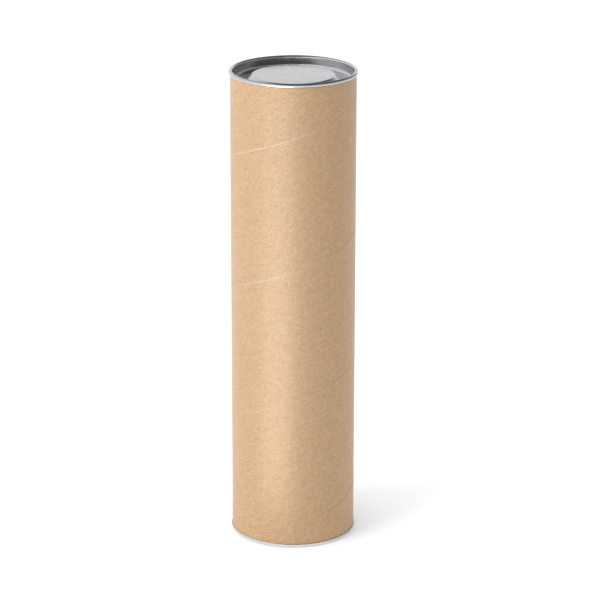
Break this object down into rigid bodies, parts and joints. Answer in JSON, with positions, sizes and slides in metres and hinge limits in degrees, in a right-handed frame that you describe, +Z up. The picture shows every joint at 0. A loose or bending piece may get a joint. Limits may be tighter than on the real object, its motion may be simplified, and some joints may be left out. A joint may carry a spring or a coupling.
{
  "type": "cylindrical gift tube box",
  "caption": "Tall round gift tube of spiral-wound kraft paper with a crimped tinplate bottom end and a tinplate plug lid that lifts off.",
  "frame": {"origin": "centre of the ring of tinplate that the box stands on, at the bottom of the box", "axes": "+Z up along the axis of the tube, -Y towards the front"},
  "size_m": [0.088, 0.088, 0.332],
  "materials": {
    "kraft_paper": "uncoated natural kraft with a fine fibre mottle and open spiral seams",
    "core_board": "grey-brown wound board, seen only at the tube's cut edges",
    "liner_paper": "smooth white lining paper",
    "tinplate_end": "bright satin tinplate, crimped and hemmed",
    "tinplate_lid": "bright satin tinplate with a rolled rim"
  },
  "bodies": {
    "tube": {"outer_kraft_wrap": "kraft_paper", "core_ply_outer": "core_board", "core_ply_middle": "core_board", "core_ply_inner": "core_board", "inner_liner": "liner_paper", "bottom_end": "tinplate_end"},
    "lid": {"plug_lid": "tinplate_lid"}
  },
  "joints": [
    {"name": "lid_lift", "type": "slide", "parent": "tube", "child": "lid", "axis": [0, 0, 1], "range_m": [0, 0.1]}
  ]
}
